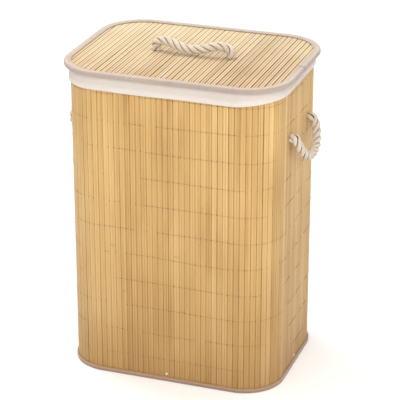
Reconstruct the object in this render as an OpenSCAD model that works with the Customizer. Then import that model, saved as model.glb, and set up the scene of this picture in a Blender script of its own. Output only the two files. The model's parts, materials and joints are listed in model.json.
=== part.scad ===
// Laundry hamper: a bound mat of upright bamboo slats on two wire hoops, with a hinged slat lid,
// a cotton liner whose cuff folds over the rim, and three twisted cotton rope handles.
// Millimetres, +Z up, origin on the floor under the middle of the body.

/* [Body] */
// Width of the slat wall, outside to outside, along X
body_w = 400; // [320:10:480]
// Depth of the slat wall, outside to outside, along Y
body_d = 300; // [240:10:360]
// Height of the rim, floor to the top of the rim binding
rim_h = 580; // [440:10:700]
// Radius of the upright corners, at the slats' outer face
corner_r = 73; // [55:1:90]

/* [Slats] */
// Distance from one slat to the next
slat_pitch = 10.2; // [8:0.1:12.5]
// Thickness of a slat
slat_t = 2; // [1.6:0.1:2.4]
// Gap between neighbouring slats
slat_gap = 0.36; // [0.3:0.02:0.6]
// Height of the lowest row of binding thread
thread_first_z = 43; // [36:1:56]
// Distance between rows of binding thread
thread_pitch = 50.7; // [40:0.1:62]
// Thickness of a binding thread
thread_t = 0.6; // [0.4:0.1:0.7]
// Width of a row of binding thread
thread_w = 1.2; // [0.8:0.1:1.6]

/* [Hoops and bindings] */
// Diameter of the steel wire in the three hoops
wire_d = 4; // [3.2:0.1:4.8]
// Thickness of the binding cloth
cloth_t = 0.8; // [0.6:0.1:1]
// Height of the rim binding
rim_binding_h = 16; // [13:1:20]
// Height of the foot binding behind the slats
foot_binding_h = 10; // [10:0.5:13]
// Height of the foot binding in front of the slats
foot_skirt_h = 8.5; // [7:0.5:9.5]
// How far the foot binding stands out from the slats
foot_proud = 3; // [2.4:0.1:3.6]

/* [Lid] */
// How far the lid stands out past the slat wall
lid_overhang = 11.5; // [9.5:0.5:14]
// Width of the lid's binding
lid_binding_w = 13; // [11:0.5:15]
// Thickness of the lid at its binding
lid_t = 8; // [7:0.5:10]
// Width of the cloth hinge
hinge_w = 240; // [190:5:290]

/* [Liner] */
// Thickness of the liner cloth
liner_t = 1.2; // [1:0.1:1.4]
// Depth of the cuff, down from the rim
cuff_h = 28; // [22:1:34]

/* [Rope handles] */
// Diameter of the rope
rope_d = 17; // [14:0.5:18]
// Distance from a side handle's holes to the corners' curves, set to the nearest gap between slats
handle_inset = 20; // [17:1:28]
// Distance from the rim down to the side handles' holes
handle_drop = 108; // [80:2:180]
// Half the distance between the lid handle's holes, set to the nearest gap between slats
lid_handle_half = 71; // [60:1:86]
// Angle by which the left handle hangs closer to the wall than the right one
left_handle_lean = 14; // [0:1:14]

/* [Base] */
// Thickness of the base board
board_t = 3; // [2.5:0.1:3.6]
// Diameter of the corner support rods
rod_d = 4; // [3.3:0.1:4.4]

/* [Hidden] */
$fn = 48;

bamboo = "burlywood";
pale_bamboo = "navajowhite";
tape = "rosybrown";
cotton = "antiquewhite";
rope_colour = "wheat";

// Clearances
fit = 0.3;          // between pieces that are laid or sewn against each other
board_fit = 1;      // round the loose base board
rod_fit = 0.6;      // above a support rod
thread_gap = 0.1;   // between a row of thread and the slats that it binds

// Wall: slats share the straight runs and the corner arcs out evenly.
flat_x = body_w - 2 * corner_r;
flat_y = body_d - 2 * corner_r;
n_x = round(flat_x / slat_pitch);
n_y = round(flat_y / slat_pitch);
n_arc = round(corner_r * PI / 2 / slat_pitch);
pitch_x = flat_x / n_x;
pitch_y = flat_y / n_y;
step_arc = 90 / n_arc;
arc_slat_w = 2 * (corner_r - slat_t) * tan(step_arc / 2) - slat_gap;
// How far a flat corner slat's edges stand outside the corner's circle
arc_proud = sqrt(corner_r * corner_r + arc_slat_w * arc_slat_w / 4) - corner_r;
thread_rows = floor((rim_h - rim_binding_h - thread_first_z) / thread_pitch);

// Channel that the bindings leave for the slats, measured outwards from the slats' outer face
channel_out = arc_proud + fit;
channel_in = -slat_t - fit;

// Hoops in the wall, measured the same way
wire_off = channel_in - fit - wire_d / 2 - 0.3;
wire_pocket_r = wire_d / 2 + fit;
sleeve_in = wire_off - wire_pocket_r - cloth_t;

// Rim
rim_wire_z = rim_h - cloth_t - wire_pocket_r;
slat_top = rim_h - cloth_t - fit;

// Foot: the slats stand on the binding's floor, above the base mat's slot
foot_ledge_w = 6;
slat_bottom = 3.6;
foot_wire_z = slat_bottom + 3;
base_slat_z = 2.5;
base_slot_top = base_slat_z + slat_t + fit;
ledge_top = base_slot_top + 1.5;
base_off = sleeve_in - 0.5;
board_z = ledge_top + fit;
board_off = sleeve_in - board_fit;

// Corner rods, behind the rim binding's inner skirt
rod_cap_r = rod_d / 2 + 0.4;
rod_off = channel_in - cloth_t - fit - rod_cap_r;

// Liner
liner_out = min(sleeve_in, rod_off - rod_cap_r) - fit;
liner_in = liner_out - liner_t;
liner_floor_z = board_z + board_t + 0.4;
seam_gap = 0.15;             // round the bottom panel, so that its corners clear the wall's
cuff_in = channel_out + cloth_t + fit;
cuff_out = cuff_in + liner_t;
cuff_top = rim_h + fit + liner_t;
cuff_bottom = rim_h - cuff_h;

// Lid
lid_z = cuff_top + 0.5;
lid_top = lid_z + lid_t;
lid_slat_z = lid_top - 3 - slat_t;
lid_slat_top = lid_slat_z + slat_t;
lid_inner = lid_overhang - lid_binding_w;
lid_wire_off = lid_overhang - cloth_t - wire_pocket_r - 0.6;
lid_wire_z = lid_z + lid_t / 2;
lid_slot_depth = lid_wire_off - wire_pocket_r - 0.5;
lid_edge_r = 3;

// Cloth hinge: a strip over the cuff at the back, up to a bead on the hinge axis
strip_off = cuff_out + fit;
bead_r = 0.9;
hinge_y = body_d / 2 + lid_overhang + cloth_t + fit + bead_r;
hinge_z = lid_z + 1.5;
strip_bottom = cuff_bottom - 22;
strip_bend_z = hinge_z - 6.5;

// Rope handles
rope_r = rope_d / 2;
hole_r = 6;
stub_r = hole_r - 0.4;
swing_gap = rope_r + 1;     // from the surface that the rope leaves to the axis that it swings about
knot_r = 13;
knot_t = 13;
pocket_fit = 1.5;
handle_z = rim_h - handle_drop;
// The gap between slats that is nearest to a distance from the middle, in a run of n slats
function gap_near(distance, n, pitch) =
    n % 2 == 1 ? (floor(distance / pitch) + 0.5) * pitch : round(distance / pitch) * pitch;
handle_y = gap_near(flat_y / 2 - handle_inset, n_y, pitch_y);
lid_handle_x = gap_near(lid_handle_half, 0, pitch_x);

// Route of a side handle from its hole to its lowest point, then mirrored:
// out from the axis it swings about, share of handle_y, and down from that axis
side_route = [
    [0, 1, 0], [2.5, 1, 4.5], [5, 0.97, 10], [7, 0.93, 16], [9, 0.87, 22], [11, 0.78, 29],
    [13, 0.64, 36], [15, 0.46, 42], [16, 0.24, 45], [16.5, 0, 46]
];
// Route of the lid's handle from its hole to its middle, then mirrored:
// share of lid_handle_x, forward of the axis, and up from the axis
lid_route = [
    [1, 0, 0], [0.96, 0.5, 5], [0.89, 1.5, 8.5], [0.8, 3, 10.8], [0.7, 5, 11.5], [0.58, 7, 10.5],
    [0.46, 8.5, 8.2], [0.32, 9.6, 5.4], [0.16, 10.2, 3.2], [0, 10.4, 2.4]
];
rope_sides = 10;

rivet_z = foot_binding_h + 3.5;
rivet_head_r = 2.4;
rivet_shank_r = 0.9;

// ---------------------------------------------------------------- outlines and hoops

// A rounded rectangle that stands off from the slats' outer face by the given amount
module outline(off) {
    w = body_w + 2 * off;
    d = body_d + 2 * off;
    r = corner_r + off;
    square([w - 2 * r, d], center = true);
    square([w, d - 2 * r], center = true);
    for (x = [-1, 1], y = [-1, 1])
        translate([x * (w / 2 - r), y * (d / 2 - r)]) circle(r, $fn = 96);
}

// Carries a profile round the body. In the profile, X is the distance outwards from the slats' outer face.
module hoop() {
    for (side = [-1, 1]) {
        translate([flat_x / 2, side * body_d / 2, 0]) rotate([90, 0, -90])
            linear_extrude(flat_x) scale_x(-side) children();
        translate([side * body_w / 2, -flat_y / 2, 0]) rotate([90, 0, 180])
            linear_extrude(flat_y) scale_x(-side) children();
    }
    for (i = [0:3])
        translate([(i == 0 || i == 3 ? 1 : -1) * flat_x / 2, (i < 2 ? 1 : -1) * flat_y / 2, 0])
            rotate(90 * i) rotate_extrude(angle = 90, $fn = 96) translate([corner_r, 0]) children();
}

// Flips a flat profile left to right where the sign is negative
module scale_x(sign) {
    if (sign < 0) mirror([1, 0]) children();
    else children();
}

// A flat rectangle between two corners, with its own corners rounded
module rounded_box(lo, hi, r) {
    translate([lo[0] + r, lo[1]]) square([hi[0] - lo[0] - 2 * r, hi[1] - lo[1]]);
    translate([lo[0], lo[1] + r]) square([hi[0] - lo[0], hi[1] - lo[1] - 2 * r]);
    for (x = [lo[0] + r, hi[0] - r], y = [lo[1] + r, hi[1] - r]) translate([x, y]) circle(r);
}

module box2(lo, hi) {
    translate(lo) square(hi - lo);
}

// ---------------------------------------------------------------- slat wall

module slat(width) {
    translate([-width / 2, -slat_t, slat_bottom]) cube([width, slat_t, slat_top - slat_bottom]);
}

// A straight run of slats along X, with its outer face at y = 0
module slat_run(n, pitch) {
    for (i = [0:n - 1]) translate([(i - (n - 1) / 2) * pitch, 0, 0]) slat(pitch - slat_gap);
}

// Slats round one corner, from the +X face to the +Y face
module slat_corner() {
    for (i = [0:n_arc - 1])
        rotate((i + 0.5) * step_arc - 90) translate([0, corner_r, 0]) slat(arc_slat_w);
}

module corner_at(sx, sy) {
    color(bamboo) translate([sx * flat_x / 2, sy * flat_y / 2, 0])
        rotate(sx > 0 ? (sy > 0 ? 0 : -90) : (sy > 0 ? 90 : 180)) slat_corner();
}

// Places children on a side wall, with +Y outwards: 0 back, 1 left, 2 front, 3 right
module on_wall(side) {
    rotate(90 * side) translate([0, (side % 2 == 0 ? body_d : body_w) / 2, 0]) children();
}

module wall_run(side) {
    n = side % 2 == 0 ? n_x : n_y;
    pitch = side % 2 == 0 ? pitch_x : pitch_y;
    color(bamboo) on_wall(side) difference() {
        slat_run(n, pitch);
        translate([rivet_shift(n, pitch), 1, rivet_z]) rotate([90, 0, 0])
            cylinder(r = rivet_shank_r + 0.1, h = slat_t + 2);
        if (side % 2 == 1) for (s = [-1, 1])
            translate([s * handle_y, 1, handle_z]) rotate([90, 0, 0]) cylinder(r = hole_r, h = slat_t + 2);
    }
}

// A wall's rivet goes through the slat at, or next to, its middle
function rivet_shift(n, pitch) = n % 2 == 1 ? 0 : pitch / 2;

module wall_threads() {
    color("tan") for (i = [0:thread_rows])
        translate([0, 0, thread_first_z + i * thread_pitch]) hoop()
            box2([-slat_t - thread_t - thread_gap, -thread_w / 2], [-slat_t - thread_gap, thread_w / 2]);
}

module wall_rivets() {
    color("silver") for (side = [0:3]) {
        n = side % 2 == 0 ? n_x : n_y;
        pitch = side % 2 == 0 ? pitch_x : pitch_y;
        on_wall(side) translate([rivet_shift(n, pitch), 0, rivet_z]) rotate([-90, 0, 0]) {
            intersection() {
                translate([0, 0, -rivet_head_r * 0.75]) sphere(rivet_head_r * 1.25);
                cylinder(r = rivet_head_r, h = rivet_head_r);
            }
            translate([0, 0, -slat_t - 0.7]) cylinder(r = rivet_shank_r, h = slat_t + 0.8);
            translate([0, 0, -slat_t - 0.7]) cylinder(r = rivet_head_r - 0.3, h = 0.6);
        }
    }
}

// ---------------------------------------------------------------- hoops and bindings

module wire_hoop(off, z) {
    color("dimgray") hoop() translate([off, z]) circle(wire_d / 2);
}

module rim_binding() {
    color(tape) hoop() difference() {
        union() {
            box2([channel_in - cloth_t, rim_h - rim_binding_h], [channel_out + cloth_t, rim_h]);
            box2([sleeve_in, rim_wire_z - wire_pocket_r - cloth_t], [channel_out + cloth_t, rim_h]);
        }
        box2([channel_in, rim_h - rim_binding_h - 1], [channel_out, slat_top + fit]);
        translate([wire_off, rim_wire_z]) circle(wire_pocket_r);
    }
}

module foot_binding() {
    color(tape) hoop() difference() {
        union() {
            rounded_box([sleeve_in, 0], [foot_proud, foot_skirt_h], 2.4);
            rounded_box([sleeve_in, 0], [channel_in, foot_binding_h], 2.4);
            box2([sleeve_in - foot_ledge_w, 0], [sleeve_in + 3, ledge_top]);
        }
        box2([channel_in, slat_bottom - fit], [channel_out, foot_binding_h + 1]);
        translate([wire_off, foot_wire_z]) circle(wire_pocket_r);
        box2([sleeve_in - foot_ledge_w - 1, base_slat_z - fit], [sleeve_in, base_slot_top]);
    }
}

// ---------------------------------------------------------------- base and frame

// A mat of slats along Y, cut to an outline, with a gap between slats in the middle.
// An outermost slat that would be narrower than it is thick is left out.
module mat(off, z, holes = false) {
    n = ceil((body_w / 2 + off - slat_t) / pitch_x);
    translate([0, 0, z]) difference() {
        intersection() {
            for (i = [-n:n - 1]) translate([i * pitch_x + slat_gap / 2, -body_d, 0])
                cube([pitch_x - slat_gap, 2 * body_d, slat_t]);
            linear_extrude(slat_t) outline(off);
        }
        if (holes) for (s = [-1, 1])
            translate([s * lid_handle_x, 0, -1]) cylinder(r = hole_r, h = slat_t + 2);
    }
}

// Rows of thread under a mat, half a row's distance either side of its middle and on outwards
module mat_threads(off, z) {
    rows = floor((body_d / 2 + off) / thread_pitch - 0.5);
    color("tan") translate([0, 0, z]) intersection() {
        for (i = [-rows - 1:rows])
            translate([-body_w, (i + 0.5) * thread_pitch - thread_w / 2, 0])
                cube([2 * body_w, thread_w, thread_t]);
        linear_extrude(thread_t) outline(off);
    }
}

module base_board() {
    color("peru") translate([0, 0, board_z]) linear_extrude(board_t) outline(board_off);
}

// The corner rods stand on the foot binding and reach up to the rim's sleeve
rod_low = foot_binding_h;
rod_high = rim_wire_z - wire_pocket_r - cloth_t - rod_fit;
cap_h = 11;
cap_end = 1;
cap_slack = 0.02;

module at_rod(sx, sy) {
    along = (corner_r + rod_off) / sqrt(2);
    translate([sx * (flat_x / 2 + along), sy * (flat_y / 2 + along), 0]) children();
}

module support_rod(sx, sy) {
    color("dimgray") at_rod(sx, sy)
        translate([0, 0, rod_low + cap_end]) cylinder(d = rod_d, h = rod_high - rod_low - 2 * cap_end);
}

module rod_caps() {
    color("ivory") for (sx = [-1, 1], sy = [-1, 1]) at_rod(sx, sy) {
        rod_cap();
        translate([0, 0, rod_low + rod_high]) mirror([0, 0, 1]) rod_cap();
    }
}

module rod_cap() {
    difference() {
        translate([0, 0, rod_low]) cylinder(r = rod_cap_r, h = cap_h);
        translate([0, 0, rod_low + cap_end - cap_slack]) cylinder(d = rod_d + 2 * cap_slack, h = cap_h);
    }
}

// ---------------------------------------------------------------- liner

// The room that a knot needs behind a side wall, grown by the given amount
module knot_room(grow) {
    for (side = [1, 3], s = [-1, 1]) on_wall(side) translate([s * handle_y, 0, handle_z]) rotate([90, 0, 0])
        cylinder(r = knot_r + pocket_fit + grow, h = slat_t + knot_t + pocket_fit + grow);
}

module liner_wall() {
    color(cotton) difference() {
        union() {
            hoop() union() {
                box2([liner_in, liner_floor_z], [liner_out, cuff_top]);
                box2([liner_in, cuff_top - liner_t], [cuff_out, cuff_top]);
                box2([cuff_in, cuff_bottom], [cuff_out, cuff_top]);
            }
            intersection() {
                knot_room(liner_t);
                translate([0, 0, liner_floor_z]) linear_extrude(rim_h - liner_floor_z) outline(liner_out);
            }
        }
        knot_room(0);
    }
}

module liner_bottom() {
    color(cotton) translate([0, 0, liner_floor_z]) linear_extrude(liner_t) outline(liner_in - seam_gap);
}

// ---------------------------------------------------------------- cloth hinge

module hinge_strip() {
    y0 = body_d / 2 + strip_off;
    color(tape) translate([-hinge_w / 2, 0, 0]) {
        translate([0, y0, strip_bottom]) cube([hinge_w, cloth_t, strip_bend_z - strip_bottom]);
        rotate([90, 0, 90]) linear_extrude(hinge_w) polygon([
            [y0, strip_bend_z], [y0 + cloth_t, strip_bend_z],
            [hinge_y + bead_r * 0.7, hinge_z - bead_r * 0.5], [hinge_y - bead_r * 0.4, hinge_z]
        ]);
        translate([0, hinge_y, hinge_z]) rotate([0, 90, 0]) cylinder(r = bead_r, h = hinge_w);
    }
}

module lid_hinge_flap() {
    y0 = body_d / 2 + lid_overhang;
    color(tape) difference() {
        translate([-hinge_w / 2, y0 + 0.02, lid_z + 1]) cube([hinge_w, cloth_t, lid_t - lid_edge_r]);
        translate([-hinge_w / 2 - 1, hinge_y, hinge_z]) rotate([0, 90, 0])
            cylinder(r = bead_r + fit, h = hinge_w + 2);
    }
}

// ---------------------------------------------------------------- lid

module lid_binding() {
    color(tape) hoop() difference() {
        rounded_box([lid_inner, lid_z], [lid_overhang, lid_top], lid_edge_r);
        translate([lid_wire_off, lid_wire_z]) circle(wire_pocket_r);
        box2([lid_inner - 1, lid_slat_z - fit], [lid_slot_depth, lid_slat_top + fit]);
    }
}

module lid_slats() {
    color(pale_bamboo) mat(lid_slot_depth - fit, lid_slat_z, holes = true);
}

// ---------------------------------------------------------------- rope handles

function unit(v) = v / norm(v);
function tangent(path, i) = unit(path[min(i + 1, len(path) - 1)] - path[max(i - 1, 0)]);

// Rings along a path as [centre, tangent, radius], with a round end beyond each end of the path
function rope_rings(path, r) = let (
    last = len(path) - 1,
    t0 = tangent(path, 0),
    t1 = tangent(path, last)
) concat(
    [for (a = [75, 50, 25]) [path[0] - t0 * r * sin(a), t0, r * cos(a)]],
    [for (i = [0:last]) [path[i], tangent(path, i), r]],
    [for (a = [25, 50, 75]) [path[last] + t1 * r * sin(a), t1, r * cos(a)]]
);

function ring_points(ring, flat) = let (
    across = unit(cross(ring[1], flat)),
    up = cross(ring[1], across)
) [for (k = [0:rope_sides - 1]) let (angle = 360 * k / rope_sides)
    ring[0] + ring[2] * (cos(angle) * across + sin(angle) * up)];

// A rope along a path. flat is a direction that the path never points in.
module rope(path, flat) {
    rings = rope_rings(path, rope_r);
    n = rope_sides;
    points = [for (ring = rings) for (p = ring_points(ring, flat)) p];
    sides = [for (i = [0:len(rings) - 2], k = [0:n - 1]) let (
        a = i * n + k, b = i * n + (k + 1) % n, c = a + n, d = b + n
    ) each [[a, c, b], [b, c, d]]];
    start = [for (k = [0:n - 1]) k];
    end = [for (k = [n - 1:-1:0]) (len(rings) - 1) * n + k];
    color(rope_colour) polyhedron(points, concat(sides, [start, end]));
}

// A half route and its mirror image in Y, end to end
function both_ways(half) =
    concat(half, [for (i = [len(half) - 2:-1:0]) [half[i][0], -half[i][1], half[i][2]]]);

side_axis_x = body_w / 2 + swing_gap;
lid_axis_z = lid_slat_top + swing_gap;

// A point of a side route, swung in towards the wall by an angle
function leaning(p, angle) =
    [p[0] * cos(angle) - p[2] * sin(angle), p[1], p[2] * cos(angle) + p[0] * sin(angle)];

module side_rope(lean) {
    half = [for (p = side_route) leaning(p, lean)];
    path = [for (p = both_ways(half)) [side_axis_x + p[0], p[1] * handle_y, handle_z - p[2]]];
    rope(path, [cos(20), 0, sin(20)]);
}

module lid_rope() {
    half = [for (p = lid_route) [p[1], p[0] * lid_handle_x, p[2]]];
    path = [for (p = both_ways(half)) [p[1], -p[0], lid_axis_z + p[2]]];
    rope(path, [0, 1, 0]);
}

// A rope's end: the part squeezed through the hole, and the knot behind.
// Z is outwards, and z = 0 is the outer face of the slats.
module knotted_end(through) {
    translate([0, 0, -through - 1]) cylinder(r = stub_r, h = through + 1.4);
    translate([0, 0, -through - fit - knot_t]) rotate_extrude() {
        square([knot_r - knot_t / 2, knot_t]);
        intersection() {
            translate([knot_r - knot_t / 2, knot_t / 2]) circle(knot_t / 2);
            square([knot_r, knot_t]);
        }
    }
}

module side_knots(side) {
    color(rope_colour) for (s = [-1, 1]) on_wall(side)
        translate([s * handle_y, 0, handle_z]) rotate([-90, 0, 0]) knotted_end(slat_t);
}

module lid_handle_knots() {
    color(rope_colour) for (s = [-1, 1]) translate([s * lid_handle_x, 0, lid_slat_top]) knotted_end(slat_t);
}

// ---------------------------------------------------------------- nodes

wall_run(2);  // front_slats
wall_run(0);  // back_slats
wall_run(1);  // left_slats
wall_run(3);  // right_slats
corner_at(-1, -1);  // corner_slats_front_left
corner_at(1, -1);  // corner_slats_front_right
corner_at(-1, 1);  // corner_slats_back_left
corner_at(1, 1);  // corner_slats_back_right
wall_threads();
wire_hoop(wire_off, rim_wire_z);  // rim_wire
rim_binding();
wire_hoop(wire_off, foot_wire_z);  // foot_wire
foot_binding();
color(pale_bamboo) mat(base_off, base_slat_z);  // base_slats
mat_threads(sleeve_in - foot_ledge_w - fit, base_slat_z - thread_t - thread_gap);  // base_threads
base_board();
support_rod(-1, -1);  // support_rod_front_left
support_rod(1, -1);  // support_rod_front_right
support_rod(-1, 1);  // support_rod_back_left
support_rod(1, 1);  // support_rod_back_right
rod_caps();
wall_rivets();
liner_wall();
liner_bottom();
hinge_strip();
lid_slats();
mat_threads(lid_inner - fit, lid_slat_z - thread_t - thread_gap);  // lid_threads
wire_hoop(lid_wire_off, lid_wire_z);  // lid_wire
lid_binding();
lid_hinge_flap();
lid_handle_knots();
lid_rope();  // lid_handle_rope
mirror([1, 0, 0]) side_rope(left_handle_lean);  // left_handle_rope
side_knots(1);  // left_handle_knots
side_rope(0);  // right_handle_rope
side_knots(3);  // right_handle_knots
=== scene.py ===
"""A laundry hamper of bound bamboo slats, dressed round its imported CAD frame. +Z up, -Y to the front."""

import json
import math

import bpy
import numpy as np
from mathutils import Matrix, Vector


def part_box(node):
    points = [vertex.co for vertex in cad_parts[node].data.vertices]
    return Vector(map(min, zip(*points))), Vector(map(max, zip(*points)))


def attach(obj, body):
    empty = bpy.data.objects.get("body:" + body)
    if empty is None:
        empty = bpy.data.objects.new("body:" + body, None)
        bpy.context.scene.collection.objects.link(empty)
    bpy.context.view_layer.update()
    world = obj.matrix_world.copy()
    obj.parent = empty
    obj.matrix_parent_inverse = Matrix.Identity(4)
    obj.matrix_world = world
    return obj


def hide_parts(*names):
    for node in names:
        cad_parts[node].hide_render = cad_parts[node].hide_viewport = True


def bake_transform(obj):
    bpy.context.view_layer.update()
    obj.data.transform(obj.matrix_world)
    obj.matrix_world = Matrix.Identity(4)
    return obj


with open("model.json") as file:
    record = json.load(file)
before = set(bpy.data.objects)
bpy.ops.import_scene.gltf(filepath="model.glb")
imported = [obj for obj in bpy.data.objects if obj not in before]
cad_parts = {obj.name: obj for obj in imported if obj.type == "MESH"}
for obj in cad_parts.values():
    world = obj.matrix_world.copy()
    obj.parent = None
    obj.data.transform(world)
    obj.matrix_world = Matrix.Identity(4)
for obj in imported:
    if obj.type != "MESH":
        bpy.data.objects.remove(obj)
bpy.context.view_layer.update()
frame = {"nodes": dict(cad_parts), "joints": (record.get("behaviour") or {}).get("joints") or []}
MM = 0.001


# ---- sizes, from the frame where it has them


def box_mm(node):
    """A CAD node's lowest and highest corners, in millimetres."""
    low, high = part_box(node)
    return np.array(low) / MM, np.array(high) / MM


WALL_LOW, WALL_HIGH = box_mm("front_slats")
CORNER_LOW, CORNER_HIGH = box_mm("corner_slats_front_left")
BODY_W = 2 * box_mm("right_slats")[1][0]
BODY_D = -2 * WALL_LOW[1]
SLAT_T = WALL_HIGH[1] - WALL_LOW[1]
SLAT_LOW, SLAT_TOP = WALL_LOW[2], WALL_HIGH[2]
CORNER_R = round(CORNER_HIGH[0] - CORNER_LOW[0])
CORNER_ARC = CORNER_R * math.pi / 2
FLAT_X = BODY_W - 2 * CORNER_R
FLAT_Y = BODY_D - 2 * CORNER_R
PITCH = 10.2

LINER_LOW, LINER_HIGH = box_mm("liner_wall")
CUFF_OFF = LINER_HIGH[0] - BODY_W / 2
LINER_BOTTOM_LOW, LINER_BOTTOM_HIGH = box_mm("liner_bottom")
BAG_OFF = LINER_BOTTOM_HIGH[0] - BODY_W / 2
CUFF_H = 26
CUFF_RIGHT_RISE = 7  # how much higher the cuff's hem is drawn on the right side

FOOT_LOW, FOOT_HIGH = box_mm("foot_binding")
FOOT_OFF = FOOT_HIGH[0] - BODY_W / 2
FOOT_SKIRT_H = 8.5  # height of the foot's tape in front of the slats
RIM_LOW, RIM_HIGH = box_mm("rim_binding")
RIM_H = round(RIM_HIGH[2])
LID_LOW, LID_HIGH = box_mm("lid_binding")
LID_OFF = LID_HIGH[0] - BODY_W / 2
LID_BINDING_W = 13
LID_SLAT_LOW, LID_SLAT_HIGH = box_mm("lid_slats")
LID_SLAT_OFF = LID_SLAT_HIGH[0] - BODY_W / 2
BASE_SLAT_LOW, BASE_SLAT_HIGH = box_mm("base_slats")
BASE_SLAT_OFF = BASE_SLAT_HIGH[0] - BODY_W / 2
STRIP_LOW, STRIP_HIGH = box_mm("hinge_strip")

FLOOR_GAP = 0.15  # the least height of the tape above the floor
CLOTH_T = 0.9
STITCH, STITCH_GAP = 2.9, 1.3
THREAD_ROWS, THREAD_PITCH = 11, 51  # rows of thread round the wall, and the spacing of those under the mats
HOLE_R = 6.0
ROPE_D = 17.0
LAY = 44.0
STRANDS = 3
IN_KNOT = 10.0  # how much of each rope's end is inside its knot


def joint_at(name):
    """Where a joint's axis is, in millimetres."""
    return next(np.array(j["pos_m"]) / MM for j in frame["joints"] if j["name"] == name)


SIDE_AXIS = joint_at("right_handle_swing")
LID_AXIS = joint_at("lid_handle_swing")
KNOTS_LOW, KNOTS_HIGH = box_mm("right_handle_knots")
LID_KNOTS_LOW, LID_KNOTS_HIGH = box_mm("lid_handle_knots")
KNOT_R = (KNOTS_HIGH[2] - KNOTS_LOW[2]) / 2
HANDLE_Y = KNOTS_HIGH[1] - KNOT_R
LID_HANDLE_X = LID_KNOTS_HIGH[0] - KNOT_R

# The ropes' routes, from hole to middle, as in the CAD.
# Side handle: out from the axis, share of the half width, down from the axis.
SIDE_ROUTE = [
    (0, 1, 0), (2.5, 1, 4.5), (5, 0.97, 10), (7, 0.93, 16), (9, 0.87, 22), (11, 0.78, 29),
    (13, 0.64, 36), (15, 0.46, 42), (16, 0.24, 45), (16.5, 0, 46),
]
# Lid handle: share of the half width, forward of the axis, up from the axis.
LID_ROUTE = [
    (1, 0, 0), (0.96, 0.5, 5), (0.89, 1.5, 8.5), (0.8, 3, 10.8), (0.7, 5, 11.5), (0.58, 7, 10.5),
    (0.46, 8.5, 8.2), (0.32, 9.6, 5.4), (0.16, 10.2, 3.2), (0, 10.4, 2.4),
]
# How far each rope's first points are outside the slats that it comes through.
THROUGH_HOLE = (-10, -4, 3)
# How much closer to the wall each side handle hangs, in radians.
LEAN = {"right": 0.0, "left": math.radians(14)}


# ---- materials


def rgb(red, green, blue):
    """A colour as a screen shows it, 0 to 255, in the renderer's linear values."""
    shares = (red / 255, green / 255, blue / 255)
    return (*(c / 12.92 if c <= 0.04045 else ((c + 0.055) / 1.055) ** 2.4 for c in shares), 1)


class Paint:
    """A material, with short ways to add the nodes that these ones use."""

    def __init__(self, name, **sockets):
        self.material = bpy.data.materials.new(name)
        self.material.use_nodes = True
        self.tree = self.material.node_tree
        self.shader = self.tree.nodes["Principled BSDF"]
        for socket, value in sockets.items():
            self.shader.inputs[socket.replace("_", " ")].default_value = value

    def feed(self, socket, value):
        if isinstance(value, bpy.types.NodeSocket):
            self.tree.links.new(value, socket)
        else:
            socket.default_value = value

    def node(self, kind, inputs=None, output=0, **settings):
        """Adds a node, feeds its inputs by name or number, and returns one of its outputs."""
        made = self.tree.nodes.new("ShaderNode" + kind)
        for name, value in settings.items():
            setattr(made, name, value)
        for socket, value in (inputs or {}).items():
            self.feed(made.inputs[socket], value)
        return made.outputs[output]

    def mapped(self, vector, scale, turn=0.0):
        return self.node("Mapping", {"Vector": vector, "Scale": scale, "Rotation": (0, 0, turn)})

    def uv(self, *scale, turn=0.0):
        """The piece's own flat coordinates, which are in metres along and across its cloth, rope or slat."""
        return self.mapped(self.node("UVMap", uv_map="UVMap"), (*scale, 1), turn)

    def place(self, *scale):
        return self.mapped(self.node("TexCoord", output="Object"), scale)

    def part(self, vector, axis):
        return self.node("SeparateXYZ", {0: vector}, axis)

    def clamped(self, value):
        return self.node("Clamp", {"Value": value})

    def attribute(self, name):
        return self.node("Attribute", output="Fac", attribute_name=name)

    def noise(self, vector, detail=3.0, roughness=0.5):
        inputs = {"Vector": vector, "Scale": 1, "Detail": detail, "Roughness": roughness}
        return self.node("TexNoise", inputs, "Fac")

    def wave(self, vector, distortion=0.0, direction="X"):
        """Ridges one unit apart along an axis of vector."""
        inputs = {"Vector": vector, "Scale": 1 / math.tau * math.pi, "Distortion": distortion, "Detail": 1}
        return self.node("TexWave", inputs, "Fac", bands_direction=direction)

    def math(self, operation, *terms):
        return self.node("Math", dict(enumerate(terms)), operation=operation)

    def weighted(self, *terms, start=0.0):
        """The sum of (value, weight) pairs and a start value."""
        total = start
        for value, weight in terms:
            total = self.math("MULTIPLY_ADD", value, weight, total)
        return total

    def ramp(self, value, *stops):
        made = self.tree.nodes.new("ShaderNodeValToRGB")
        self.feed(made.inputs["Fac"], value)
        ramp = made.color_ramp.elements
        while len(ramp) < len(stops):
            ramp.new(1)
        for element, (place, colour) in zip(ramp, stops):
            element.position, element.color = place, colour
        return made.outputs["Color"]

    def mix(self, share, a, b):
        return self.node("Mix", {0: share, 6: a, 7: b}, 2, data_type="RGBA")

    def span(self, value, low, high):
        """Value, from 0..1 to low..high."""
        return self.node("MapRange", {"Value": value, "To Min": low, "To Max": high})

    def surface(self, colour, roughness, relief, height):
        """Sets the look, with relief of the given height in metres, and returns the material."""
        normal = self.node("Bump", {"Distance": height, "Height": relief})
        for socket, value in (("Base Color", colour), ("Roughness", roughness), ("Normal", normal)):
            self.feed(self.shader.inputs[socket], value)
        return self.material


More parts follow.
